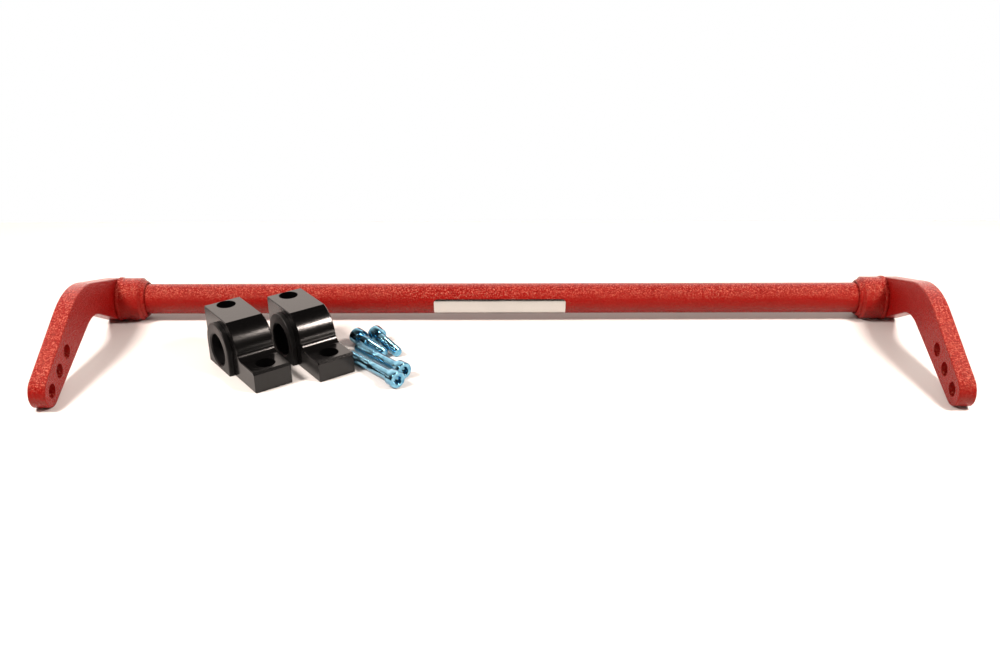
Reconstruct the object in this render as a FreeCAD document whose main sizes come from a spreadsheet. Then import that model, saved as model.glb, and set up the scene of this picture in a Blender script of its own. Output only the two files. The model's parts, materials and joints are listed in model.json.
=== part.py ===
import FreeCAD, Part
import math
import os
import re

import Sketcher

# Sway bar kit: a tubular bar with welded end arms, two split bushings in
# their clamp blocks, and four loose socket head screws, all lying on a floor.
# +X runs along the bar, +Z is up, and the end arms reach towards -Y.

SIZES = {
    # bar
    "tube_diameter": 25.4,
    "tube_wall": 4.8,
    "tube_half_length": 333.0,
    "bar_axis_y": 73.6,
    "bar_axis_height": 17.7,
    "bore_clearance": 0.05,
    "collar_diameter": 35.4,
    "collar_inner_x": 302.0,
    "collar_chamfer": 2.0,
    "weld_groove": 2.6,
    "weld_crown": 0.5,
    "tube_weld_leg": 3.2,
    "tube_weld_height": 2.55,
    "tube_weld_crest": 1.9,
    # end arms
    "arm_inner_x": 322.8,
    "arm_thickness": 12.7,
    "arm_edge_round": 1.0,
    "neck_top_angle": 19.0,
    "neck_bottom_angle": 30.0,
    "leg_top_angle": 25.8,
    "leg_bottom_angle": 19.5,
    "top_corner_radius": 64.0,
    "under_corner_radius": 32.0,
    "tip_forward": 152.75,
    "tip_radius": 12.12,
    "link_hole_diameter": 10.8,
    "link_hole_pitch": 18.8,
    "link_hole_angle": 22.66,
    "end_weld_bevel": 2.05,
    "end_weld_inner_radius": 10.8,
    "end_weld_lip": 0.5,
    "end_weld_shoulder": 1.5,
    # name plate, blank
    "plate_length": 110.4,
    "plate_along": -1.6,
    "plate_thickness": 0.4,
    "plate_gap": 0.05,
    "plate_top_angle": 19.0,
    "plate_bottom_angle": 56.0,
    "plate_corner_radius": 3.0,
    # clamp blocks
    "block_width": 30.0,
    "block_back": 27.7,
    "block_front": 55.8,
    "block_height": 41.5,
    "foot_height": 16.4,
    "seat_height": 15.5,
    "saddle_radius": 28.8,
    "saddle_fillet": 7.0,
    "foot_chamfer": 1.8,
    "block_edge_chamfer": 0.5,
    "cavity_half_width": 15.2,
    "cavity_arch_height": 18.1,
    "boss_hole_back": 20.2,
    "foot_hole_front": 44.0,
    "screw_hole_diameter": 8.4,
    "counterbore_diameter": 14.8,
    "counterbore_depth": 8.0,
    "cut_overrun": 1.0,
    "cut_reach": 100.0,
    # bushings
    "bushing_bore_diameter": 25.5,
    "bushing_half_width": 14.9,
    "bushing_arch_height": 18.1,
    "flange_half_width": 19.0,
    "flange_arch_height": 17.8,
    "flange_proud": 3.9,
    "flange_side_gap": 0.15,
    "flange_round": 0.8,
    "bore_chamfer": 1.0,
    "slit_width": 0.8,
    "waist_cut_reach": 30.0,
    # screws, M8
    "head_diameter": 13.0,
    "head_height": 8.0,
    "head_chamfer": 0.6,
    "hex_across_flats": 6.0,
    "hex_depth": 4.0,
    "shank_diameter": 8.0,
    "thread_diameter": 7.9,
    "thread_length": 28.0,
    "tip_chamfer": 1.0,
    "long_screw_length": 55.0,
    "short_screw_length": 30.0,
    "short_screw_thread": 22.0,
}

# Where the loose pieces lie: distance along the bar from its middle and
# distance from the bar's axis, in front of it, with the heading in degrees.
CLAMPS = {
    "1": {"along": -203.2, "front": 82.0, "yaw": 37.2},
    "2": {"along": -158.0, "front": 64.4, "yaw": 36.6},
}
SCREWS = {
    "long_screw_1": {"along": -77.0, "front": 127.4, "heading": 131.2, "kind": "long"},
    "long_screw_2": {"along": -73.3, "front": 112.8, "heading": 131.2, "kind": "long"},
    "short_screw_1": {"along": -118.4, "front": 49.4, "heading": -46.2, "kind": "short"},
    "short_screw_2": {"along": -103.6, "front": 45.1, "heading": -54.5, "kind": "short"},
}

NODES = []
TOLERANCE = 0.001


def vec(x_mm, y_mm, z_mm=0.0):
    return FreeCAD.Vector(x_mm, y_mm, z_mm)


def make_sheet(doc):
    """One row of the sheet for each driving dimension."""
    sheet = doc.addObject("Spreadsheet::Sheet", "Sizes")
    for row, (alias, value) in enumerate(SIZES.items(), start=1):
        sheet.set(f"A{row}", alias)
        sheet.set(f"B{row}", str(value))
        sheet.setAlias(f"B{row}", alias)
    doc.recompute()
    return sheet


def size(expression):
    """Value of an expression written with the sheet's aliases."""
    return float(SHEET.evalExpression(expression))


def linked(expression):
    """The same expression as an object outside the sheet writes it."""
    return re.sub(r"[a-z]+_\w+", lambda alias: f"Sizes.{alias.group()}", expression)


def new_body(label):
    body = DOC.addObject("PartDesign::Body", label)
    body.Label = label
    NODES.append(body)
    return body


def add_sketch(body, name, role, offset=None):
    """Sketch on one of the body's own origin planes."""
    sketch = body.newObject("Sketcher::SketchObject", name)
    plane = next(item for item in body.Origin.OriginFeatures if item.Role == role)
    sketch.AttachmentSupport = [(plane, "")]
    sketch.MapMode = "FlatFace"
    if offset is not None:
        sketch.setExpression("AttachmentOffset.Base.z", f"{linked(offset)} * 1 mm")
    return sketch


def constrain(sketch, kind, *where, value=None):
    """Add a constraint, bound to the sheet when it carries a value."""
    if value is None:
        sketch.addConstraint(Sketcher.Constraint(kind, *where))
        return
    number = size(value)
    if kind == "Angle":
        number = math.radians(number)
    index = sketch.addConstraint(Sketcher.Constraint(kind, *where, number))
    unit = "deg" if kind == "Angle" else "mm"
    sketch.setExpression(f"Constraints[{index}]", f"({linked(value)}) * 1 {unit}")


def pin_point(sketch, geometry, point, across, up):
    """Fix a point of a sketch; a coordinate of None lies on the axis."""
    if across is None:
        constrain(sketch, "PointOnObject", geometry, point, -2)
    else:
        constrain(sketch, "DistanceX", -1, 1, geometry, point, value=across)
    if up is None:
        constrain(sketch, "PointOnObject", geometry, point, -1)
    else:
        constrain(sketch, "DistanceY", -1, 1, geometry, point, value=up)


def coordinate(expression):
    return 0.0 if expression is None else size(expression)


def add_polygon(sketch, corners):
    """Closed outline of straight lines through corners given as expressions."""
    spots = [vec(coordinate(across), coordinate(up)) for across, up in corners]
    first = sketch.GeometryCount
    count = len(spots)
    for index in range(count):
        sketch.addGeometry(Part.LineSegment(spots[index], spots[(index + 1) % count]))
    for index, (across, up) in enumerate(corners):
        following = first + (index + 1) % count
        constrain(sketch, "Coincident", first + index, 2, following, 1)
        pin_point(sketch, first + index, 1, across, up)


def add_circle(sketch, across, up, radius):
    centre = vec(coordinate(across), coordinate(up))
    index = sketch.addGeometry(Part.Circle(centre, vec(0, 0, 1), size(radius)))
    constrain(sketch, "Radius", index, value=radius)
    if across is None and up is None:
        constrain(sketch, "Coincident", index, 3, -1, 1)
    else:
        pin_point(sketch, index, 3, across, up)
    return index


def arc(centre, radius, start, end):
    """Anticlockwise arc between two angles in degrees."""
    circle = Part.Circle(centre, vec(0, 0, 1), radius)
    return Part.ArcOfCircle(circle, math.radians(start), math.radians(end))


def polar(centre, radius, angle):
    turn = math.radians(angle)
    return centre + vec(radius * math.cos(turn), radius * math.sin(turn))


def add_feature(body, kind, name, sketch, length=None, both_ways=False, backwards=False):
    """Pad or Pocket of a sketch; with no length a Pocket goes right through."""
    feature = body.newObject(f"PartDesign::{kind}", name)
    feature.Profile = sketch
    if both_ways:
        feature.SideType = "Symmetric"
    feature.Reversed = backwards
    if length is None:
        feature.Type = "ThroughAll"
    else:
        feature.setExpression("Length", f"({linked(length)}) * 1 mm")
    DOC.recompute()
    return feature


def revolve(body, sketch):
    """Turn a sketch drawn on the XY plane about the X axis."""
    feature = body.newObject("PartDesign::Revolution", "Revolution")
    feature.Profile = sketch
    feature.ReferenceAxis = (sketch, ["H_Axis"])
    feature.Angle = 360.0
    DOC.recompute()
    return feature


def dress_up(body, kind, name, base, edges, radius):
    """Fillet or Chamfer on the edges of base named in a list."""
    feature = body.newObject(f"PartDesign::{kind}", name)
    feature.Base = (base, edges)
    target = "Radius" if kind == "Fillet" else "Size"
    feature.setExpression(target, f"{linked(radius)} * 1 mm")
    DOC.recompute()
    return feature


def edges_where(feature, test):
    """Names of a feature's edges that pass a test."""
    return [f"Edge{index}" for index, edge in enumerate(feature.Shape.Edges, start=1) if test(edge)]


def lies_across(edge, *stations):
    """True for an edge that lies in a plane square to X at one of the stations."""
    flat = edge.BoundBox.XLength < TOLERANCE
    return flat and any(abs(edge.BoundBox.XMin - station) < TOLERANCE for station in stations)


def place(body, along, across, height, yaw=0.0):
    """Put a body in the part's frame, turned about the vertical."""
    turn = FreeCAD.Rotation(vec(0, 0, 1), yaw)
    body.Placement = FreeCAD.Placement(vec(along, across, height), turn)


# ---------------------------------------------------------------- bar

BORE = "(tube_diameter / 2 + bore_clearance)"
COLLAR_RADIUS = "(collar_diameter / 2)"


def build_tube():
    body = new_body("bar_tube")
    sketch = add_sketch(body, "TubeSection", "YZ_Plane")
    add_circle(sketch, None, None, "tube_diameter / 2")
    add_circle(sketch, None, None, "tube_diameter / 2 - tube_wall")
    add_feature(body, "Pad", "TubeLength", sketch, "tube_half_length * 2", both_ways=True)
    place(body, 0, size("bar_axis_y"), size("bar_axis_height"))


def build_ring(side, name, corners):
    """Ring turned about the bar's axis, on the left or the right of the bar."""
    body = new_body(f"{side}_{name}")
    sketch = add_sketch(body, "RingSection", "XY_Plane")
    add_polygon(sketch, corners)
    revolve(body, sketch)
    yaw = 180.0 if side == "left" else 0.0
    place(body, 0, size("bar_axis_y"), size("bar_axis_height"), yaw)


RINGS = {
    "collar": [
        ("collar_inner_x", BORE),
        ("arm_inner_x", BORE),
        ("arm_inner_x", f"{COLLAR_RADIUS} - weld_groove"),
        ("arm_inner_x - weld_groove", COLLAR_RADIUS),
        ("collar_inner_x + collar_chamfer", COLLAR_RADIUS),
        ("collar_inner_x", f"{COLLAR_RADIUS} - collar_chamfer"),
    ],
    "collar_weld": [
        ("arm_inner_x", f"{COLLAR_RADIUS} - weld_groove"),
        ("arm_inner_x", f"{COLLAR_RADIUS} - weld_crown"),
        ("arm_inner_x - weld_crown", COLLAR_RADIUS),
        ("arm_inner_x - weld_groove", COLLAR_RADIUS),
    ],
    "tube_weld": [
        ("collar_inner_x - tube_weld_leg", BORE),
        ("collar_inner_x", BORE),
        ("collar_inner_x", f"{BORE} + tube_weld_height"),
        ("collar_inner_x - tube_weld_crest", f"{BORE} + tube_weld_crest"),
    ],
    "end_weld": [
        ("tube_half_length + bore_clearance * 2", "end_weld_inner_radius"),
        ("arm_inner_x + arm_thickness - end_weld_lip", "end_weld_inner_radius + end_weld_lip"),
        ("arm_inner_x + arm_thickness", "end_weld_inner_radius + end_weld_shoulder"),
        ("arm_inner_x + arm_thickness", f"{BORE} + end_weld_bevel"),
        ("arm_inner_x + arm_thickness - end_weld_bevel", BORE),
        ("tube_half_length + bore_clearance * 2", BORE),
    ],
}


def draw_arm_outline(sketch):
    """Side view of an arm: a round eye, a rising neck, a long falling leg and
    a round tip, with a wide bend on top and a tighter one underneath. The arm
    reaches towards -Y, which is the sketch's left."""
    neck_top = size("neck_top_angle")
    neck_under = size("neck_bottom_angle")
    leg_top = size("leg_top_angle")
    leg_under = size("leg_bottom_angle")
    eye = vec(0, size("bar_axis_height"))
    tip = vec(-size("tip_forward"), size("tip_radius"))
    eye_radius = size(COLLAR_RADIUS)
    tip_radius = size("tip_radius")

    def bend(start, start_angle, finish, finish_angle, radius, convex):
        """Arc between two straight runs, given a point and heading on each."""
        run_in = polar(vec(0, 0), 1.0, start_angle)
        run_out = polar(vec(0, 0), 1.0, finish_angle)
        gap = finish - start
        reach = (gap.x * run_out.y - gap.y * run_out.x) / (run_in.x * run_out.y - run_in.y * run_out.x)
        corner = start + run_in * reach
        turn = math.radians(abs(finish_angle - start_angle)) / 2
        cut = radius * math.tan(turn)
        enter = corner - run_in * cut
        leave = corner + run_out * cut
        side = 90.0 if convex else -90.0
        centre = polar(enter, radius, start_angle + side)
        if convex:
            return enter, leave, arc(centre, radius, start_angle - 90.0, finish_angle - 90.0)
        return enter, leave, arc(centre, radius, finish_angle + 90.0, start_angle + 90.0)

    tip_low = polar(tip, tip_radius, leg_under - 90.0)
    eye_low = polar(eye, eye_radius, -90.0 - neck_under)
    eye_high = polar(eye, eye_radius, 90.0 - neck_top)
    tip_high = polar(tip, tip_radius, 90.0 + leg_top)
    under_in, under_out, under_arc = bend(
        tip_low, leg_under, eye_low, -neck_under, size("under_corner_radius"), False)
    top_in, top_out, top_arc = bend(
        eye_high, 180.0 - neck_top, tip_high, 180.0 + leg_top, size("top_corner_radius"), True)

    leg_bottom = sketch.addGeometry(Part.LineSegment(tip_low, under_in))
    under_bend = sketch.addGeometry(under_arc)
    neck_bottom = sketch.addGeometry(Part.LineSegment(under_out, eye_low))
    eye_arc = sketch.addGeometry(arc(eye, eye_radius, -90.0 - neck_under, 90.0 - neck_top))
    neck_line = sketch.addGeometry(Part.LineSegment(eye_high, top_in))
    top_bend = sketch.addGeometry(top_arc)
    leg_line = sketch.addGeometry(Part.LineSegment(top_out, tip_high))
    tip_arc = sketch.addGeometry(arc(tip, tip_radius, 90.0 + leg_top, 270.0 + leg_under))

    joins = [
        (leg_bottom, 2, under_bend, 2),
        (under_bend, 1, neck_bottom, 1),
        (neck_bottom, 2, eye_arc, 1),
        (eye_arc, 2, neck_line, 1),
        (neck_line, 2, top_bend, 1),
        (top_bend, 2, leg_line, 1),
        (leg_line, 2, tip_arc, 1),
        (tip_arc, 2, leg_bottom, 1),
    ]
    for join in joins:
        constrain(sketch, "Tangent", *join)
    pin_point(sketch, eye_arc, 3, None, "bar_axis_height")
    pin_point(sketch, tip_arc, 3, "-tip_forward", "tip_radius")
    constrain(sketch, "Radius", eye_arc, value=COLLAR_RADIUS)
    constrain(sketch, "Radius", tip_arc, value="tip_radius")
    constrain(sketch, "Radius", top_bend, value="top_corner_radius")
    constrain(sketch, "Radius", under_bend, value="under_corner_radius")
    constrain(sketch, "Angle", leg_bottom, value="leg_bottom_angle")
    constrain(sketch, "Angle", neck_bottom, value="-neck_bottom_angle")
    constrain(sketch, "Angle", neck_line, value="180 - neck_top_angle")
    constrain(sketch, "Angle", leg_line, value="leg_top_angle - 180")


def build_arm(side):
    body = new_body(f"{side}_arm")
    left = side == "left"
    outline = add_sketch(body, "ArmOutline", "YZ_Plane")
    draw_arm_outline(outline)
    pad = add_feature(body, "Pad", "ArmPlate", outline, "arm_thickness", backwards=left)
    outer = -size("arm_thickness") if left else size("arm_thickness")
    rims = edges_where(pad, lambda edge: lies_across(edge, 0.0, outer))
    dress_up(body, "Fillet", "ArmEdges", pad, rims, "arm_edge_round")
    bores = add_sketch(body, "ArmBores", "YZ_Plane")
    add_circle(bores, None, "bar_axis_height", BORE)
    for number in range(3):
        add_circle(
            bores,
            f"-tip_forward + {number} * link_hole_pitch * cos(link_hole_angle * 1 deg)",
            f"tip_radius + {number} * link_hole_pitch * sin(link_hole_angle * 1 deg)",
            "link_hole_diameter / 2")
    drilled = add_feature(body, "Pocket", "ArmDrilling", bores, "cut_reach", both_ways=True)
    mouth = edges_where(drilled, lambda edge: is_bore_mouth(edge, outer))
    dress_up(body, "Chamfer", "EndWeldBevel", drilled, mouth, "end_weld_bevel")
    along = -size("arm_inner_x") if left else size("arm_inner_x")
    place(body, along, size("bar_axis_y"), 0)


def is_bore_mouth(edge, station):
    """The edge of the tube's bore on one face of an arm."""
    if not lies_across(edge, station) or not hasattr(edge.Curve, "Radius"):
        return False
    return abs(edge.Curve.Radius - size(BORE)) < TOLERANCE


def build_name_plate():
    """Blank plate wrapped round the front of the tube."""
    body = new_body("name_plate")
    sketch = add_sketch(body, "PlateSection", "YZ_Plane")
    inner = size("tube_diameter / 2 + plate_gap")
    outer = size("tube_diameter / 2 + plate_gap + plate_thickness")
    top = 180.0 - size("plate_top_angle")
    bottom = 180.0 + size("plate_bottom_angle")
    axis = vec(0, 0)
    inner_arc = sketch.addGeometry(arc(axis, inner, top, bottom))
    outer_arc = sketch.addGeometry(arc(axis, outer, top, bottom))
    high_edge = sketch.addGeometry(Part.LineSegment(polar(axis, inner, top), polar(axis, outer, top)))
    low_edge = sketch.addGeometry(
        Part.LineSegment(polar(axis, inner, bottom), polar(axis, outer, bottom)))
    for number, curve in ((1, high_edge), (2, low_edge)):
        constrain(sketch, "Coincident", inner_arc, number, curve, 1)
        constrain(sketch, "Coincident", outer_arc, number, curve, 2)
    constrain(sketch, "Coincident", inner_arc, 3, -1, 1)
    constrain(sketch, "Coincident", outer_arc, 3, -1, 1)
    constrain(sketch, "Radius", inner_arc, value="tube_diameter / 2 + plate_gap")
    constrain(sketch, "Radius", outer_arc, value="tube_diameter / 2 + plate_gap + plate_thickness")
    constrain(sketch, "Angle", high_edge, value="180 - plate_top_angle")
    constrain(sketch, "Angle", low_edge, value="plate_bottom_angle - 180")
    pad = add_feature(body, "Pad", "PlateLength", sketch, "plate_length", both_ways=True)
    thin = size("plate_thickness") + TOLERANCE
    corners = edges_where(
        pad, lambda edge: edge.Length < thin and edge.BoundBox.XLength < TOLERANCE)
    dress_up(body, "Fillet", "PlateCorners", pad, corners, "plate_corner_radius")
    place(body, size("plate_along"), size("bar_axis_y"), size("bar_axis_height"))


# ------------------------------------------------------- clamp blocks

def draw_block_outline(sketch):
    """Side view of a block: a tall back with a flat top, a round saddle over
    the bushing and a low foot that reaches forward, the sketch's left."""
    back = size("block_back")
    front = -size("block_front")
    top = size("block_height")
    foot = size("foot_height")
    radius = size("saddle_radius")
    seat = vec(0, size("seat_height"))
    high_angle = 180.0 - math.degrees(math.asin((top - seat.y) / radius))
    low_angle = 180.0 - math.degrees(math.asin((foot - seat.y) / radius))
    high = polar(seat, radius, high_angle)
    low = polar(seat, radius, low_angle)
    corners = [vec(front, 0), vec(back, 0), vec(back, top), high]
    base, rear, flat = [
        sketch.addGeometry(Part.LineSegment(corners[index], corners[index + 1]))
        for index in range(3)
    ]
    saddle = sketch.addGeometry(arc(seat, radius, high_angle, low_angle))
    foot_top = sketch.addGeometry(Part.LineSegment(low, vec(front, foot)))
    foot_end = sketch.addGeometry(Part.LineSegment(vec(front, foot), vec(front, 0)))
    chain = [base, rear, flat, saddle, foot_top, foot_end]
    for index, geometry in enumerate(chain):
        constrain(sketch, "Coincident", geometry, 2, chain[(index + 1) % len(chain)], 1)
    for level in (base, flat, foot_top):
        constrain(sketch, "Horizontal", level)
    for upright in (rear, foot_end):
        constrain(sketch, "Vertical", upright)
    pin_point(sketch, base, 1, "-block_front", None)
    pin_point(sketch, rear, 2, "block_back", "block_height")
    pin_point(sketch, saddle, 3, None, "seat_height")
    constrain(sketch, "Radius", saddle, value="saddle_radius")
    constrain(sketch, "DistanceY", -1, 1, foot_end, 1, value="foot_height")


def draw_arch(sketch, half_width, arch_height, bottom):
    """Upright U, round at the top, with straight sides down to bottom."""
    reach = size(half_width)
    crown = size(arch_height)
    low = coordinate(bottom)
    arch = sketch.addGeometry(arc(vec(0, crown), reach, 0.0, 180.0))
    left_side = sketch.addGeometry(Part.LineSegment(vec(-reach, crown), vec(-reach, low)))
    base = sketch.addGeometry(Part.LineSegment(vec(-reach, low), vec(reach, low)))
    right_side = sketch.addGeometry(Part.LineSegment(vec(reach, low), vec(reach, crown)))
    constrain(sketch, "Tangent", arch, 2, left_side, 1)
    constrain(sketch, "Coincident", left_side, 2, base, 1)
    constrain(sketch, "Coincident", base, 2, right_side, 1)
    constrain(sketch, "Tangent", right_side, 2, arch, 1)
    pin_point(sketch, arch, 3, None, arch_height)
    constrain(sketch, "Radius", arch, value=half_width)
    constrain(sketch, "Horizontal", base)
    if bottom is None:
        constrain(sketch, "PointOnObject", base, 1, -1)
    else:
        constrain(sketch, "DistanceY", -1, 1, base, 1, value=bottom)


def bore_block(body, name, across, mouth_height):
    """Counterbored screw hole, drilled straight down from a flat top."""
    sketch = add_sketch(body, f"{name}Spot", "XY_Plane", mouth_height)
    add_circle(sketch, None, across, "screw_hole_diameter / 2")
    DOC.recompute()
    hole = body.newObject("PartDesign::Hole", name)
    hole.Profile = sketch
    hole.DepthType = "ThroughAll"
    hole.HoleCutType = "Counterbore"
    hole.setExpression("Diameter", "Sizes.screw_hole_diameter * 1 mm")
    hole.setExpression("HoleCutDiameter", "Sizes.counterbore_diameter * 1 mm")
    hole.setExpression("HoleCutDepth", "Sizes.counterbore_depth * 1 mm")
    DOC.recompute()
    return hole


def build_block(number, spot):
    body = new_body(f"clamp_block_{number}")
    outline = add_sketch(body, "BlockOutline", "YZ_Plane")
    draw_block_outline(outline)
    pad = add_feature(body, "Pad", "BlockWidth", outline, "block_width", both_ways=True)
    half = size("block_width / 2")
    foot = size("foot_height")
    front = -size("block_front")
    saddle_foot = edges_where(
        pad,
        lambda edge: edge.BoundBox.ZLength < TOLERANCE and edge.BoundBox.XLength > half
        and abs(edge.BoundBox.ZMin - foot) < TOLERANCE and edge.BoundBox.YMin > front + TOLERANCE)
    saddle = dress_up(body, "Fillet", "SaddleFillet", pad, saddle_foot, "saddle_fillet")
    foot_nose = edges_where(
        saddle,
        lambda edge: edge.BoundBox.XLength > half and abs(edge.BoundBox.ZMin - foot) < TOLERANCE
        and abs(edge.BoundBox.YMin - front) < TOLERANCE)
    nose = dress_up(body, "Chamfer", "FootNose", saddle, foot_nose, "foot_chamfer")
    rims = edges_where(nose, lambda edge: lies_across(edge, -half, half))
    dress_up(body, "Chamfer", "BlockEdges", nose, rims, "block_edge_chamfer")
    cavity = add_sketch(body, "BushingCavity", "YZ_Plane")
    draw_arch(cavity, "cavity_half_width", "cavity_arch_height", "-cut_overrun")
    add_feature(body, "Pocket", "Cavity", cavity, "cut_reach", both_ways=True)
    bore_block(body, "BossHole", "boss_hole_back", "block_height")
    bore_block(body, "FootHole", "-foot_hole_front", "foot_height")
    place(body, spot["along"], size("bar_axis_y") - spot["front"], 0, spot["yaw"])


def build_bushing(number, spot):
    body = new_body(f"bushing_{number}")
    overall = "block_width + 2 * (flange_proud + flange_side_gap)"
    outline = add_sketch(body, "FlangeOutline", "YZ_Plane")
    draw_arch(outline, "flange_half_width", "flange_arch_height", None)
    pad = add_feature(body, "Pad", "BushingLength", outline, overall, both_ways=True)
    end = size(overall) / 2
    rims = edges_where(pad, lambda edge: lies_across(edge, -end, end) and edge.BoundBox.ZMax > TOLERANCE)
    dress_up(body, "Fillet", "FlangeRims", pad, rims, "flange_round")
    waist = add_sketch(body, "WaistCut", "YZ_Plane")
    draw_waist(waist)
    add_feature(body, "Pocket", "Waist", waist, "block_width + 2 * flange_side_gap", both_ways=True)
    bore = add_sketch(body, "BarBore", "YZ_Plane")
    add_circle(bore, None, "seat_height", "bushing_bore_diameter / 2")
    bored = add_feature(body, "Pocket", "Bore", bore, "cut_reach", both_ways=True)
    mouths = edges_where(bored, lambda edge: lies_across(edge, -end, end) and is_bar_bore(edge))
    dress_up(body, "Chamfer", "BoreMouths", bored, mouths, "bore_chamfer")
    slit = add_sketch(body, "SlitCut", "YZ_Plane")
    add_polygon(slit, [
        ("-slit_width / 2", "-cut_overrun"),
        ("slit_width / 2", "-cut_overrun"),
        ("slit_width / 2", "seat_height / 2"),
        ("-slit_width / 2", "seat_height / 2"),
    ])
    add_feature(body, "Pocket", "Slit", slit, "cut_reach", both_ways=True)
    place(body, spot["along"], size("bar_axis_y") - spot["front"], 0, spot["yaw"])


def is_bar_bore(edge):
    if not hasattr(edge.Curve, "Radius"):
        return False
    return abs(edge.Curve.Radius - size("bushing_bore_diameter / 2")) < TOLERANCE


def draw_waist(sketch):
    """Everything outside the bushing's narrow middle, which sits in a block."""
    reach = size("bushing_half_width")
    crown = size("bushing_arch_height")
    wide = size("waist_cut_reach")
    low = -size("cut_overrun")
    high = size("waist_cut_reach + bushing_arch_height")
    arch = sketch.addGeometry(arc(vec(0, crown), reach, 0.0, 180.0))
    spots = [
        vec(-reach, crown), vec(-reach, low), vec(-wide, low), vec(-wide, high),
        vec(wide, high), vec(wide, low), vec(reach, low), vec(reach, crown),
    ]
    sides = [
        sketch.addGeometry(Part.LineSegment(here, there))
        for here, there in zip(spots, spots[1:])
    ]
    constrain(sketch, "Tangent", arch, 2, sides[0], 1)
    for before, after in zip(sides, sides[1:]):
        constrain(sketch, "Coincident", before, 2, after, 1)
    constrain(sketch, "Tangent", sides[-1], 2, arch, 1)
    pin_point(sketch, arch, 3, None, "bushing_arch_height")
    constrain(sketch, "Radius", arch, value="bushing_half_width")
    for index in (1, 3, 5):
        constrain(sketch, "Horizontal", sides[index])
    for index in (2, 4):
        constrain(sketch, "Vertical", sides[index])
    constrain(sketch, "DistanceY", -1, 1, sides[0], 2, value="-cut_overrun")
    constrain(sketch, "DistanceY", -1, 1, sides[-1], 1, value="-cut_overrun")
    pin_point(sketch, sides[3], 1, "-waist_cut_reach", "waist_cut_reach + bushing_arch_height")
    constrain(sketch, "DistanceX", -1, 1, sides[3], 2, value="waist_cut_reach")


# -------------------------------------------------------------- screws

def build_screw(label, spot):
    """Socket head screw lying on its head's rim and its thread's end."""
    body = new_body(label)
    long_one = spot["kind"] == "long"
    length = "long_screw_length" if long_one else "short_screw_length"
    thread = "thread_length" if long_one else "short_screw_thread"
    end = f"head_height + {length}"
    sketch = add_sketch(body, "ScrewSection", "XY_Plane")
    add_polygon(sketch, [
        (None, None),
        (end, None),
        (end, "thread_diameter / 2 - tip_chamfer"),
        (f"{end} - tip_chamfer", "thread_diameter / 2"),
        (f"{end} - {thread}", "thread_diameter / 2"),
        (f"{end} - {thread}", "shank_diameter / 2"),
        ("head_height", "shank_diameter / 2"),
        ("head_height", "head_diameter / 2"),
        ("head_chamfer", "head_diameter / 2"),
        (None, "head_diameter / 2 - head_chamfer"),
    ])
    revolve(body, sketch)
    socket = add_sketch(body, "SocketHex", "YZ_Plane")
    corner = "hex_across_flats / 2 / cos(30 deg)"
    add_polygon(socket, [
        (f"{corner} * cos({60 * step} deg)", f"{corner} * sin({60 * step} deg)")
        for step in range(6)
    ])
    add_feature(body, "Pocket", "Socket", socket, "hex_depth", backwards=True)
    contact = size(f"{length} - tip_chamfer")
    drop = size("head_diameter / 2 - thread_diameter / 2")
    tilt = math.degrees(math.atan2(drop, contact))
    slope = math.radians(tilt)
    face_height = size("head_diameter / 2") * math.cos(slope) + size("head_height") * math.sin(slope)
    heading = FreeCAD.Rotation(vec(0, 0, 1), spot["heading"])
    dip = FreeCAD.Rotation(vec(0, 1, 0), tilt)
    head_face = vec(spot["along"], size("bar_axis_y") - spot["front"], face_height)
    body.Placement = FreeCAD.Placement(head_face, heading.multiply(dip))


# --------------------------------------------------------------- build

def check_and_export():
    """Stop on any failed object, then write one STEP file for each sub-part."""
    for item in DOC.Objects:
        if "Invalid" in item.State or "Error" in item.State:
            raise RuntimeError(f"{item.Label}: {item.State}")
    os.makedirs("parts", exist_ok=True)
    for body in NODES:
        shape = body.Shape
        if shape.isNull() or not shape.isValid() or len(shape.Solids) != 1:
            raise RuntimeError(f"{body.Label}: shape is null, not valid or not one solid")
    for body in NODES:
        body.Shape.exportStep(f"parts/{body.Label}.step")
        box = body.Shape.BoundBox
        print(f"{body.Label:20s} volume {body.Shape.Volume:10.1f}  "
              f"x {box.XMin:8.2f} {box.XMax:8.2f}  y {box.YMin:8.2f} {box.YMax:8.2f}  "
              f"z {box.ZMin:7.2f} {box.ZMax:7.2f}")


DOC = FreeCAD.newDocument("sway_bar_kit")
SHEET = make_sheet(DOC)
build_tube()
for SIDE in ("left", "right"):
    build_arm(SIDE)
    for RING, CORNERS in RINGS.items():
        build_ring(SIDE, RING, CORNERS)
build_name_plate()
for NUMBER, SPOT in CLAMPS.items():
    build_bushing(NUMBER, SPOT)
    build_block(NUMBER, SPOT)
for NAME, SPOT in SCREWS.items():
    build_screw(NAME, SPOT)
DOC.recompute()
check_and_export()
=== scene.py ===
import json
import math
import random

import bpy
from mathutils import Matrix, Vector


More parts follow.
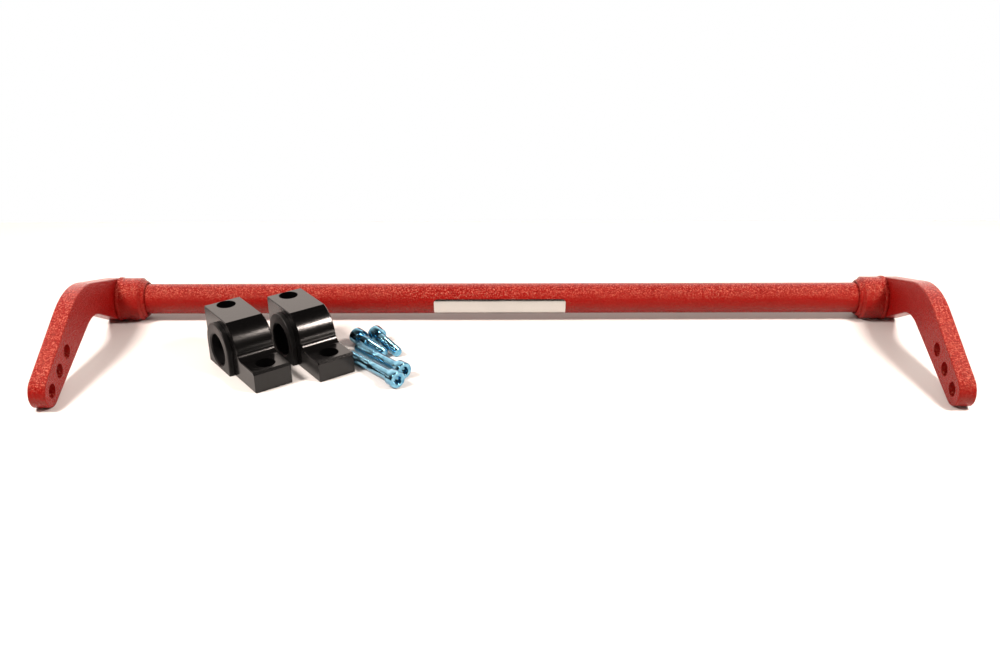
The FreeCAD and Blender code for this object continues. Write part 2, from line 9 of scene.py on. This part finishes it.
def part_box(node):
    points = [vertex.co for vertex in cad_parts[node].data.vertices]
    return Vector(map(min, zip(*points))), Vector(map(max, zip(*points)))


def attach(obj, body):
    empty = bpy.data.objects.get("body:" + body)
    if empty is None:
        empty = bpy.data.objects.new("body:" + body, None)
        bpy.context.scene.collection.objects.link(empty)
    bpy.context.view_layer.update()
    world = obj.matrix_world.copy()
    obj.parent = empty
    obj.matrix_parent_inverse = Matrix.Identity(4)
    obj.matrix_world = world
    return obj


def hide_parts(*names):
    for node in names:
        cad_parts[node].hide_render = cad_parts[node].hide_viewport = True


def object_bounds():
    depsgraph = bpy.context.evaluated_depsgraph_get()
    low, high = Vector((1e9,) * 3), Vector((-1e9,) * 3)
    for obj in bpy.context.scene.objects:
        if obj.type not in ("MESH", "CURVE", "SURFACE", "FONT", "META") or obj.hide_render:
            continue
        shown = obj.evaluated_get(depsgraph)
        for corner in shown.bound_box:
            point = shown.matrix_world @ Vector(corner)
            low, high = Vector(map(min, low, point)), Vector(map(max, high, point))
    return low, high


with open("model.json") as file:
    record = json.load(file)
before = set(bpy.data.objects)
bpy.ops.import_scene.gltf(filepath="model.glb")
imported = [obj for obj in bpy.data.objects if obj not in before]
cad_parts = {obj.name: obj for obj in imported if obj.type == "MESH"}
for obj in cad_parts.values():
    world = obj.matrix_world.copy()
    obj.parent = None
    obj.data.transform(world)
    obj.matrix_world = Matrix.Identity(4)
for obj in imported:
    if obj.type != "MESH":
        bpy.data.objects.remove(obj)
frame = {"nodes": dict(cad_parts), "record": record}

# Sway bar kit. Metres throughout; the CAD frame sets every place.

MM = 0.001
CAD_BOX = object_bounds()

# the camera, a little above the floor in front of the bar
CAMERA_PLACE = Vector((-0.0003, -0.7268, 0.3659))
CAMERA_PITCH = math.radians(25.46)
CAMERA_YAW = math.radians(-0.08)
CAMERA_ROLL = math.radians(0.15)
CAMERA_LENS_MM = 36.97
CAMERA_SENSOR_MM = 36.0

# ------------------------------------------------------------- materials


class Paint:
    """A node material with short calls for the nodes that it is built from."""

    def __init__(self, name):
        self.material = bpy.data.materials.new(name)
        self.material.use_nodes = True
        self.tree = self.material.node_tree
        self.shader = self.tree.nodes["Principled BSDF"]
        self.place = self.node("ShaderNodeTexCoord").outputs["Object"]

    def node(self, kind, **settings):
        made = self.tree.nodes.new(kind)
        for key, value in settings.items():
            setattr(made, key, value)
        return made

    def join(self, output, socket):
        self.tree.links.new(output, socket)

    def set(self, **values):
        """Uniform values, set on the shader's own sockets."""
        for key, value in values.items():
            self.shader.inputs[key.replace("_", " ")].default_value = value

    def stretched(self, scale):
        """The object's coordinates, scaled along each axis."""
        mapping = self.node("ShaderNodeMapping")
        mapping.inputs["Scale"].default_value = scale
        self.join(self.place, mapping.inputs["Vector"])
        return mapping.outputs["Vector"]

    def noise(self, size, detail=2.0, roughness=0.5, stretch=None, distortion=0.0):
        """Noise whose grains are about size metres across."""
        texture = self.node("ShaderNodeTexNoise")
        texture.inputs["Scale"].default_value = 1.0 / size
        texture.inputs["Detail"].default_value = detail
        texture.inputs["Roughness"].default_value = roughness
        texture.inputs["Distortion"].default_value = distortion
        source = self.stretched(stretch) if stretch else self.place
        self.join(source, texture.inputs["Vector"])
        return texture.outputs["Fac"]

    def facing_up(self):
        """How far the face looks up: 1 upward, 0 upright, -1 downward."""
        normal = self.node("ShaderNodeTexCoord").outputs["Normal"]
        parts = self.node("ShaderNodeSeparateXYZ")
        self.join(normal, parts.inputs["Vector"])
        return parts.outputs["Z"]

    def remap(self, value, low, high, to_low=0.0, to_high=1.0):
        """Carries low..high over to to_low..to_high."""
        ranged = self.node("ShaderNodeMapRange")
        values = {"From Min": low, "From Max": high, "To Min": to_low, "To Max": to_high}
        for key, number in values.items():
            ranged.inputs[key].default_value = number
        self.join(value, ranged.inputs["Value"])
        return ranged.outputs["Result"]

    def product(self, first, second):
        """One value times another."""
        sums = self.node("ShaderNodeMath", operation="MULTIPLY")
        self.join(first, sums.inputs[0])
        self.join(second, sums.inputs[1])
        return sums.outputs["Value"]

    def blend(self, factor, first, second):
        """Colour between two colours; each is a socket or three numbers."""
        mixer = self.node("ShaderNodeMix", data_type="RGBA")
        self.join(factor, mixer.inputs["Factor"])
        for socket, item in ((mixer.inputs[6], first), (mixer.inputs[7], second)):
            if isinstance(item, tuple):
                socket.default_value = (*item, 1.0)
            else:
                self.join(item, socket)
        return mixer.outputs[2]

    def colour(self, output):
        self.join(output, self.shader.inputs["Base Color"])

    def roughness(self, output):
        self.join(output, self.shader.inputs["Roughness"])

    def bump(self, height, depth, strength=1.0, under=None):
        """Raises the surface by depth metres where height is 1."""
        bump = self.node("ShaderNodeBump")
        bump.inputs["Strength"].default_value = strength
        bump.inputs["Distance"].default_value = depth
        self.join(height, bump.inputs["Height"])
        if under is not None:
            self.join(under, bump.inputs["Normal"])
        self.join(bump.outputs["Normal"], self.shader.inputs["Normal"])
        return bump.outputs["Normal"]


# most of a noise lies between these two values
MID_NOISE = (0.3, 0.7)

# the red coat's colours: the skin's two tones, painted shade for the pits and painted glints for
# the grain tops
COAT_DARK = (0.212, 0.0026, 0.0024)
COAT_LIGHT = (0.240, 0.0036, 0.0031)
COAT_PAINTED_PIT_SHADE = (0.140, 0.0016, 0.0015)
COAT_PAINTED_GLINT = (0.47, 0.100, 0.070)


def red_coating():
    """Textured red powder coat: fine hard grains over a slightly wavy skin.
    Grain tops are painted paler, as glints, and the pits between them painted deeper red, as
    shade, most of all on the faces that look up, where the lamps' glints fall."""
    paint = Paint("red_coating")
    paint.set(Metallic=0.0, IOR=1.5, Specular_IOR_Level=0.20, Specular_Tint=(1.0, 0.88, 0.62, 1.0))
    grain = paint.noise(0.0015, detail=2.0, roughness=0.6)
    glint_speck_noise = paint.noise(0.0012, detail=2.0, roughness=0.6)
    waves = paint.noise(0.012, detail=2.0)
    dust = paint.noise(0.09, detail=3.0)
    # painted light: a mask of the faces that look up, where grain glints and pit shade are painted
    glint_faces = paint.remap(paint.facing_up(), 0.30, 0.85, 0.05, 1.0)
    painted_glints = paint.product(paint.remap(glint_speck_noise, 0.51, 0.68), glint_faces)
    painted_pit_shade = paint.product(paint.remap(glint_speck_noise, 0.48, 0.36), glint_faces)
    tone = paint.blend(paint.remap(dust, *MID_NOISE), COAT_DARK, COAT_LIGHT)
    # painted shade in the pits, then painted glints on the grain tops
    tone_and_painted_shade = paint.blend(painted_pit_shade, tone, COAT_PAINTED_PIT_SHADE)
    paint.colour(paint.blend(painted_glints, tone_and_painted_shade, COAT_PAINTED_GLINT))
    paint.roughness(paint.remap(grain, *MID_NOISE, 0.26, 0.16))
    skin = paint.bump(waves, 0.0006, strength=0.3)
    paint.bump(grain, 0.0013, strength=0.85, under=skin)
    return paint.material


def black_anodised():
    """Machined aluminium, anodised black: glossy, with faint cutter lines."""
    paint = Paint("black_anodised")
    paint.set(Metallic=0.0, IOR=1.5, Specular_IOR_Level=0.37)
    lines = paint.noise(0.0005, detail=2.0, stretch=(0.04, 1.0, 1.0))
    cloud = paint.noise(0.02, detail=3.0)
    paint.colour(paint.blend(cloud, (0.0012, 0.0012, 0.0013), (0.0030, 0.0029, 0.0030)))
    paint.roughness(paint.remap(lines, *MID_NOISE, 0.12, 0.20))
    paint.bump(lines, 0.00003, strength=0.5)
    return paint.material


def black_bushing():
    """Moulded bushing: satin black with a fine moulded grain."""
    paint = Paint("black_bushing")
    paint.set(Metallic=0.0, IOR=1.5, Specular_IOR_Level=0.30)
    grain = paint.noise(0.0006, detail=3.0)
    cloud = paint.noise(0.015, detail=2.0)
    paint.colour(paint.blend(cloud, (0.0030, 0.0030, 0.0032), (0.0060, 0.0058, 0.0060)))
    paint.roughness(paint.remap(cloud, *MID_NOISE, 0.32, 0.48))
    paint.bump(grain, 0.00005, strength=0.4)
    return paint.material


def zinc_plated():
    """Blue-bright zinc plate over steel."""
    paint = Paint("zinc_plated")
    paint.set(Metallic=1.0)
    cloud = paint.noise(0.004, detail=3.0, roughness=0.6)
    scuffs = paint.noise(0.0007, detail=3.0, roughness=0.6)
    bath = paint.blend(paint.remap(cloud, *MID_NOISE), (0.065, 0.24, 0.38), (0.25, 0.50, 0.64))
    paint.colour(bath)
    paint.roughness(paint.remap(scuffs, *MID_NOISE, 0.08, 0.20))
    paint.bump(scuffs, 0.00004, strength=0.4)
    return paint.material


def blank_plate():
    """Blank name plate, brushed along its length."""
    paint = Paint("blank_plate")
    paint.set(Metallic=1.0)
    brushed = paint.noise(0.0003, detail=2.0, stretch=(0.02, 1.0, 1.0))
    cloud = paint.noise(0.02, detail=2.0)
    paint.colour(paint.blend(cloud, (0.50, 0.49, 0.47), (0.57, 0.56, 0.53)))
    paint.roughness(paint.remap(brushed, *MID_NOISE, 0.12, 0.22))
    paint.bump(brushed, 0.00003, strength=0.4)
    return paint.material


def white_floor():
    paint = Paint("studio_floor")
    paint.set(Metallic=0.0, IOR=1.45)
    cloud = paint.noise(0.6, detail=2.0)
    paint.colour(paint.blend(cloud, (0.76, 0.76, 0.755), (0.78, 0.78, 0.775)))
    paint.roughness(paint.remap(cloud, *MID_NOISE, 0.42, 0.5))
    return paint.material


MATERIALS = {
    "red_coating": red_coating(),
    "black_anodised": black_anodised(),
    "black_bushing": black_bushing(),
    "zinc_plated": zinc_plated(),
    "blank_plate": blank_plate(),
}
SLOTS = {row["node"]: row["material_slot"] for row in frame["record"]["subparts"]}


def dress(node):
    """Give a CAD node the material of its slot."""
    mesh = frame["nodes"][node].data
    mesh.materials.clear()
    mesh.materials.append(MATERIALS[SLOTS[node]])


# ---------------------------------------------------------------- meshes


def loft(name, rows, closed_ring=False):
    """Mesh through rows of points of equal length, each row a closed ring.
    closed_ring joins the last row back to the first; otherwise the first and
    last rows are capped with a fan."""
    width = len(rows[0])
    points = [point for row in rows for point in row]
    faces = []
    spans = len(rows) if closed_ring else len(rows) - 1
    for row in range(spans):
        following = (row + 1) % len(rows)
        for column in range(width):
            beside = (column + 1) % width
            faces.append((
                row * width + column,
                row * width + beside,
                following * width + beside,
                following * width + column,
            ))
    if not closed_ring:
        first = sum((Vector(p) for p in rows[0]), Vector()) / width
        last = sum((Vector(p) for p in rows[-1]), Vector()) / width
        points += [first, last]
        start, end = len(points) - 2, len(points) - 1
        base = (len(rows) - 1) * width
        for column in range(width):
            beside = (column + 1) % width
            faces.append((start, beside, column))
            faces.append((end, base + column, base + beside))
    mesh = bpy.data.meshes.new(name)
    mesh.from_pydata([tuple(point) for point in points], [], faces)
    mesh.update()
    piece = bpy.data.objects.new(name, mesh)
    bpy.context.collection.objects.link(piece)
    return piece


def smooth(piece, angle):
    """Smooth shading up to an edge angle."""
    mesh = piece.data
    mesh.polygons.foreach_set("use_smooth", [True] * len(mesh.polygons))
    limit = math.radians(angle)
    normals = [poly.normal.copy() for poly in mesh.polygons]
    sides = {}
    for poly in mesh.polygons:
        for key in poly.edge_keys:
            sides.setdefault(key, []).append(poly.index)
    for edge in mesh.edges:
        shared = sides.get(edge.key, [])
        if len(shared) == 2:
            first, second = normals[shared[0]], normals[shared[1]]
            edge.use_edge_sharp = first.angle(second, 0.0) > limit


def stand_for(piece, node, body):
    """A finished piece takes the place of a CAD node and rides on its body."""
    piece.data.materials.append(MATERIALS[SLOTS[node]])
    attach(piece, body)
    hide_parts(node)


# ----------------------------------------------------------------- screws

HEAD_RADIUS = 6.5 * MM
HEAD_HEIGHT = 8.0 * MM
HEAD_ROUND = 0.7 * MM
SHANK_RADIUS = 4.0 * MM
CREST_RADIUS = 3.95 * MM
ROOT_RADIUS = 3.40 * MM
PITCH = 1.25 * MM
HEX_HALF = 3.0 * MM
HEX_DEPTH = 4.0 * MM
TIP_CHAMFER = 1.0 * MM
EDGE_BREAK = 0.15 * MM
HEAD_STEPS = 6
SCREW_CREASE = 38.0
SCREW_SEGMENTS = 72

# the socket: its conical floor, rounded corner and chamfered mouth
FLOOR_CENTRE = 1.2 * MM
FLOOR_CENTRE_RADIUS = 0.05 * MM
FLOOR_EDGE = 0.2 * MM
FLOOR_EDGE_RADIUS = 2.4 * MM
SOCKET_CORNER = 0.25 * MM
MOUTH_DEPTH = 0.55 * MM
MOUTH_WIDENING = 0.25 * MM
MOUTH_INNER_RADIUS = 3.35 * MM
MOUTH_RADIUS = 3.75 * MM

# the fillet under the head
NECK_FILLET = 0.45 * MM
NECK_STEPS = 3
UNDERSIDE_BREAK = 0.2 * MM
UNDERSIDE_INSET = 0.05 * MM

# the thread: its run-out, and the flats at the crest and root of each turn
RUNOUT_GAP = 0.9 * MM
RUNOUT_PITCHES = 1.6
STEPS_PER_PITCH = 10
ROOT_FLAT = 0.10
FLANK = 0.74
TIP_CENTRE_RADIUS = 0.5 * MM

SCREWS = {
    "long_screw_1": {"heading": 131.2, "length": 55.0, "thread": 28.0, "roll": 12.0},
    "long_screw_2": {"heading": 131.2, "length": 55.0, "thread": 28.0, "roll": 41.0},
    "short_screw_1": {"heading": -46.2, "length": 30.0, "thread": 22.0, "roll": 5.0},
    "short_screw_2": {"heading": -54.5, "length": 30.0, "thread": 22.0, "roll": 33.0},
}


def screw_rows(length, thread):
    """Rings of a socket head screw along +X, from the socket's floor, out over
    the head and down the shank to the tip."""
    turns = [2 * math.pi * step / SCREW_SEGMENTS for step in range(SCREW_SEGMENTS)]
    rows = []

    def ring(along, radius_at):
        rows.append([
            (along, radius_at(turn) * math.cos(turn), radius_at(turn) * math.sin(turn))
            for turn in turns
        ])

    def hexagon(half):
        corner = math.pi / 6
        return lambda turn: half / math.cos((turn + corner) % (2 * corner) - corner)

    def circle(radius):
        return lambda turn: radius

    ring(HEX_DEPTH + FLOOR_CENTRE, circle(FLOOR_CENTRE_RADIUS))
    ring(HEX_DEPTH + FLOOR_EDGE, circle(FLOOR_EDGE_RADIUS))
    ring(HEX_DEPTH, hexagon(HEX_HALF - SOCKET_CORNER))
    ring(HEX_DEPTH - SOCKET_CORNER, hexagon(HEX_HALF))
    ring(MOUTH_DEPTH, hexagon(HEX_HALF))
    ring(MOUTH_WIDENING, lambda turn: max(hexagon(HEX_HALF)(turn), MOUTH_INNER_RADIUS))
    ring(0.0, circle(MOUTH_RADIUS))
    ring(0.0, circle(HEAD_RADIUS - HEAD_ROUND - EDGE_BREAK))
    for step in range(HEAD_STEPS + 1):
        lean = math.radians(90 / HEAD_STEPS * step)
        radius = HEAD_RADIUS - HEAD_ROUND * (1 - math.sin(lean))
        ring(HEAD_ROUND * (1 - math.cos(lean)), circle(radius))
    ring(HEAD_HEIGHT - UNDERSIDE_BREAK, circle(HEAD_RADIUS))
    ring(HEAD_HEIGHT, circle(HEAD_RADIUS - UNDERSIDE_INSET))
    ring(HEAD_HEIGHT, circle(SHANK_RADIUS + NECK_FILLET))
    for step in range(1, NECK_STEPS + 1):
        lean = math.radians(90 / NECK_STEPS * step)
        ring(HEAD_HEIGHT + NECK_FILLET * math.sin(lean) * 0.99,
             circle(SHANK_RADIUS + NECK_FILLET * (1 - math.sin(lean))))
    end = HEAD_HEIGHT + length
    start = end - thread
    ring(start - RUNOUT_GAP, circle(SHANK_RADIUS))
    steps = round(thread / PITCH * STEPS_PER_PITCH)
    for step in range(steps + 1):
        along = start + (end - start) * step / steps
        into = min(1.0, (along - start) / (RUNOUT_PITCHES * PITCH))
        to_tip = (end - along) / TIP_CHAMFER
        tip_cap = CREST_RADIUS - max(0.0, 1.0 - to_tip) * TIP_CHAMFER

        def thread_radius(turn, along=along, into=into, tip_cap=tip_cap):
            phase = (along / PITCH - turn / (2 * math.pi)) % 1.0
            wave = abs(2 * phase - 1)
            shape = min(1.0, max(0.0, (wave - ROOT_FLAT) / FLANK))
            root = CREST_RADIUS - (CREST_RADIUS - ROOT_RADIUS) * into
            return min(root + (CREST_RADIUS - root) * shape, tip_cap)

        ring(along, thread_radius)
    ring(end, circle(CREST_RADIUS - TIP_CHAMFER - EDGE_BREAK))
    ring(end, circle(TIP_CENTRE_RADIUS))
    return rows


def box_middle(low, high):
    return (Vector(low) + Vector(high)) / 2


def make_screw(node, facts):
    """Screw with a cut thread and a hexagon socket, where its CAD node lies."""
    length = facts["length"] * MM
    piece = loft(f"{node}_detail", screw_rows(length, facts["thread"] * MM))
    drop = HEAD_RADIUS - CREST_RADIUS
    tilt = math.atan2(drop, length - TIP_CHAMFER)
    turn = (
        Matrix.Rotation(math.radians(facts["heading"]), 4, "Z")
        @ Matrix.Rotation(tilt, 4, "Y")
        @ Matrix.Rotation(math.radians(facts["roll"]), 4, "X")
    )
    piece.data.transform(turn)
    points = [vertex.co for vertex in piece.data.vertices]
    low = [min(point[axis] for point in points) for axis in range(3)]
    high = [max(point[axis] for point in points) for axis in range(3)]
    shift = box_middle(*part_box(node)) - box_middle(low, high)
    piece.data.transform(Matrix.Translation(shift))
    smooth(piece, SCREW_CREASE)
    stand_for(piece, node, node)


# ------------------------------------------------------------- weld beads

WELD_SEGMENTS = 240
BEAD_POINTS = 14
BEAD_CREASE = 60.0
BEAD_WAVES = 12
PROUD_BASE = 0.45
PROUD_RIPPLE = 0.35


def bead(node, body, section, ripples, roughness, seed):
    """Weld bead round the bar's axis. section gives a closed outline in
    (distance from the bar's middle, radius) for one place round the ring, from
    how proud the bead stands there, 0 to 1."""
    low, high = (Vector(corner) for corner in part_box(node))
    middle = box_middle(low, high)
    side = 1.0 if middle.x > 0 else -1.0
    draw = random.Random(seed)
    swell = [draw.uniform(-1.0, 1.0) for _ in range(BEAD_WAVES)]
    shift = [draw.uniform(0, 2 * math.pi) for _ in range(BEAD_WAVES)]
    rows = []
    for step in range(WELD_SEGMENTS):
        turn = 2 * math.pi * step / WELD_SEGMENTS
        wander = sum(
            swell[index] * math.sin((index + 2) * turn + shift[index])
            for index in range(BEAD_WAVES)) / 5.0
        phase = (turn / (2 * math.pi) * ripples + 0.25 * math.sin(3 * turn + shift[0])) % 1.0
        ripple = math.sqrt(max(0.0, 1.0 - (1.7 * phase - 0.7) ** 2)) if phase > 0 else 0.0
        height = PROUD_BASE + PROUD_RIPPLE * ripple + roughness * wander
        proud = min(1.0, max(0.0, height))
        ring = []
        for along, radius in section(proud):
            place = Vector((
                side * along,
                middle.y + radius * math.sin(turn),
                middle.z + radius * math.cos(turn),
            ))
            place.y = min(place.y, CAD_BOX[1][1])
            place.z = max(place.z, CAD_BOX[0][2])
            place.x = max(CAD_BOX[0][0], min(CAD_BOX[1][0], place.x))
            ring.append(place)
        rows.append(ring)
    piece = loft(f"{node}_bead", rows, closed_ring=True)
    smooth(piece, BEAD_CREASE)
    stand_for(piece, node, body)


def ellipse_section(centre_along, centre_radius, half_along, half_radius, lift, lean):
    """Outline of a bead: an ellipse whose outer half swells with proud."""
    def section(proud):
        outline = []
        for index in range(BEAD_POINTS):
            turn = 2 * math.pi * index / BEAD_POINTS
            across = math.cos(turn) * half_along
            up = math.sin(turn) * half_radius
            if up > 0:
                up += lift * proud * math.sin(turn)
            outline.append((centre_along + across + lean * up, centre_radius + up))
        return outline
    return section


ARM_FACE = abs(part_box("right_arm")[0][0])
COLLAR_END = abs(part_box("right_collar")[0][0])
OUTER_FACE = abs(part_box("right_arm")[1][0])


def make_welds():
    """Three beads at each end of the bar; the right-hand ones are rougher."""
    for side, roughness, seed in (("left", 0.25, 11), ("right", 0.6, 29)):
        body = f"{side}_end"
        bead(f"{side}_collar_weld", body,
             ellipse_section(ARM_FACE - 1.1 * MM, 16.5 * MM, 2.4 * MM, 1.1 * MM, 1.3 * MM, 0.0),
             34, roughness, seed)
        bead(f"{side}_tube_weld", body,
             ellipse_section(COLLAR_END - 0.6 * MM, 13.9 * MM, 2.0 * MM, 0.95 * MM, 0.9 * MM, 0.4),
             30, roughness * 0.6, seed + 1)
        bead(f"{side}_end_weld", body,
             ellipse_section(OUTER_FACE - 1.0 * MM, 12.9 * MM, 0.95 * MM, 1.9 * MM, 0.3 * MM, 0.0),
             26, roughness * 0.6, seed + 2)


# -------------------------------------------------------------- the object

REPLACED = set(SCREWS) | {
    f"{side}_{kind}_weld" for side in ("left", "right") for kind in ("collar", "tube", "end")
}
for node in frame["nodes"]:
    if node not in REPLACED:
        dress(node)
for node, facts in SCREWS.items():
    make_screw(node, facts)
make_welds()


# ---------------------------------------------------------- floor and light

LAMP_TINT = (1.0, 0.87, 0.79)
BACKDROP_LIGHT = 2.1
BACKDROP_FILL = 0.08
ROOM_LIGHT = 0.025
CEILING_FILL = 0.52
BACKDROP_EDGE = (0.15, 0.60)
BACKDROP_TOP = (0.50, 0.85)
CEILING_EDGE = (0.35, 0.80)
SOFTBOX_POWER = 10.0
SOFTBOX_SIZE = 0.18
SOFTBOX_SIDE = 0.60
SOFTBOX_FRONT = -0.24
SOFTBOX_HEIGHT = 0.68


FLOOR_SIDE = 1.5
FLOOR_FRONT = -1.25
FLOOR_BACK = 0.32


def make_floor():
    """Wide pale floor."""
    side, front, back = FLOOR_SIDE, FLOOR_FRONT, FLOOR_BACK
    mesh = bpy.data.meshes.new("studio_floor")
    corners = [(-side, front, 0), (side, front, 0), (side, back, 0), (-side, back, 0)]
    mesh.from_pydata(corners, [], [(0, 1, 2, 3)])
    floor = bpy.data.objects.new("studio_floor", mesh)
    bpy.context.collection.objects.link(floor)
    mesh.materials.append(white_floor())


def make_world():
    """White backdrop behind the object, mirrored by glossy faces, in a dark
    room with a soft ceiling. The camera sees plain white past the floor."""
    world = bpy.data.worlds.new("studio")
    bpy.context.scene.world = world
    world.use_nodes = True
    tree = world.node_tree
    background = tree.nodes["Background"]
    place = tree.nodes.new("ShaderNodeTexCoord")
    parts = tree.nodes.new("ShaderNodeSeparateXYZ")
    seen = tree.nodes.new("ShaderNodeLightPath")
    tree.links.new(place.outputs["Generated"], parts.inputs["Vector"])

    def ramp(source, low, high, at_low, at_high):
        ranged = tree.nodes.new("ShaderNodeMapRange")
        ranged.interpolation_type = "SMOOTHSTEP"
        values = {"From Min": low, "From Max": high, "To Min": at_low, "To Max": at_high}
        for key, number in values.items():
            ranged.inputs[key].default_value = number
        tree.links.new(source, ranged.inputs["Value"])
        return ranged.outputs["Result"]

    def maths(operation, *terms):
        sums = tree.nodes.new("ShaderNodeMath")
        sums.operation = operation
        for index, term in enumerate(terms):
            if isinstance(term, float):
                sums.inputs[index].default_value = term
            else:
                tree.links.new(term, sums.inputs[index])
        return sums.outputs["Value"]

    behind = ramp(parts.outputs["Y"], *BACKDROP_EDGE, 0.0, BACKDROP_LIGHT)
    low_down = ramp(parts.outputs["Z"], *BACKDROP_TOP, 1.0, 0.0)
    diffuse = seen.outputs["Is Diffuse Ray"]
    fill = ramp(diffuse, 0.0, 1.0, 1.0, BACKDROP_FILL)
    backdrop = maths("MULTIPLY", maths("MULTIPLY", behind, low_down), fill)
    overhead = ramp(parts.outputs["Z"], *CEILING_EDGE, ROOM_LIGHT, CEILING_FILL)
    ceiling = maths("MULTIPLY", overhead, diffuse)
    lit = maths("ADD", maths("ADD", backdrop, ceiling), ROOM_LIGHT)
    camera_sees = seen.outputs["Is Camera Ray"]
    pick = tree.nodes.new("ShaderNodeMix")
    pick.data_type = "FLOAT"
    pick.inputs[3].default_value = 1.0
    tree.links.new(camera_sees, pick.inputs["Factor"])
    tree.links.new(lit, pick.inputs[2])
    tree.links.new(pick.outputs[0], background.inputs["Strength"])
    colour = tree.nodes.new("ShaderNodeMix")
    colour.data_type = "RGBA"
    colour.inputs[6].default_value = (*LAMP_TINT, 1.0)
    colour.inputs[7].default_value = (1.0, 1.0, 1.0, 1.0)
    tree.links.new(camera_sees, colour.inputs["Factor"])
    tree.links.new(colour.outputs[2], background.inputs["Color"])


LAMPS = {
    "softbox_left": (
        (-SOFTBOX_SIDE, SOFTBOX_FRONT, SOFTBOX_HEIGHT), SOFTBOX_SIZE, SOFTBOX_SIZE, SOFTBOX_POWER),
    "softbox_right": (
        (SOFTBOX_SIDE, SOFTBOX_FRONT, SOFTBOX_HEIGHT), SOFTBOX_SIZE, SOFTBOX_SIZE, SOFTBOX_POWER),
    "low_strip": ((1.01, -0.54, 0.19), 0.34, 0.06, 0.8),
}


def make_lights():
    """A softbox at each side, a little in front of the bar, and a low strip
    at the front right that draws a second fine streak on the clamp blocks."""
    for name, (place, width, depth, power) in LAMPS.items():
        lamp = bpy.data.lights.new(name, "AREA")
        lamp.shape = "RECTANGLE"
        lamp.size = width
        lamp.size_y = depth
        lamp.energy = power
        lamp.color = LAMP_TINT
        holder = bpy.data.objects.new(name, lamp)
        bpy.context.collection.objects.link(holder)
        holder.location = place
        holder.rotation_euler = (-holder.location).to_track_quat("-Z", "Y").to_euler()
        holder.visible_camera = False


def make_camera():
    lens = bpy.data.cameras.new("camera")
    lens.lens = CAMERA_LENS_MM
    lens.sensor_width = CAMERA_SENSOR_MM
    lens.clip_start = 0.01
    camera = bpy.data.objects.new("camera", lens)
    bpy.context.collection.objects.link(camera)
    camera.matrix_world = (
        Matrix.Translation(CAMERA_PLACE)
        @ Matrix.Rotation(-CAMERA_YAW, 4, "Z")
        @ Matrix.Rotation(math.pi / 2 - CAMERA_PITCH, 4, "X")
        @ Matrix.Rotation(-CAMERA_ROLL, 4, "Z")
    )
    bpy.context.scene.camera = camera


make_floor()
make_world()
make_lights()
make_camera()
bpy.context.scene.view_settings.view_transform = "Standard"
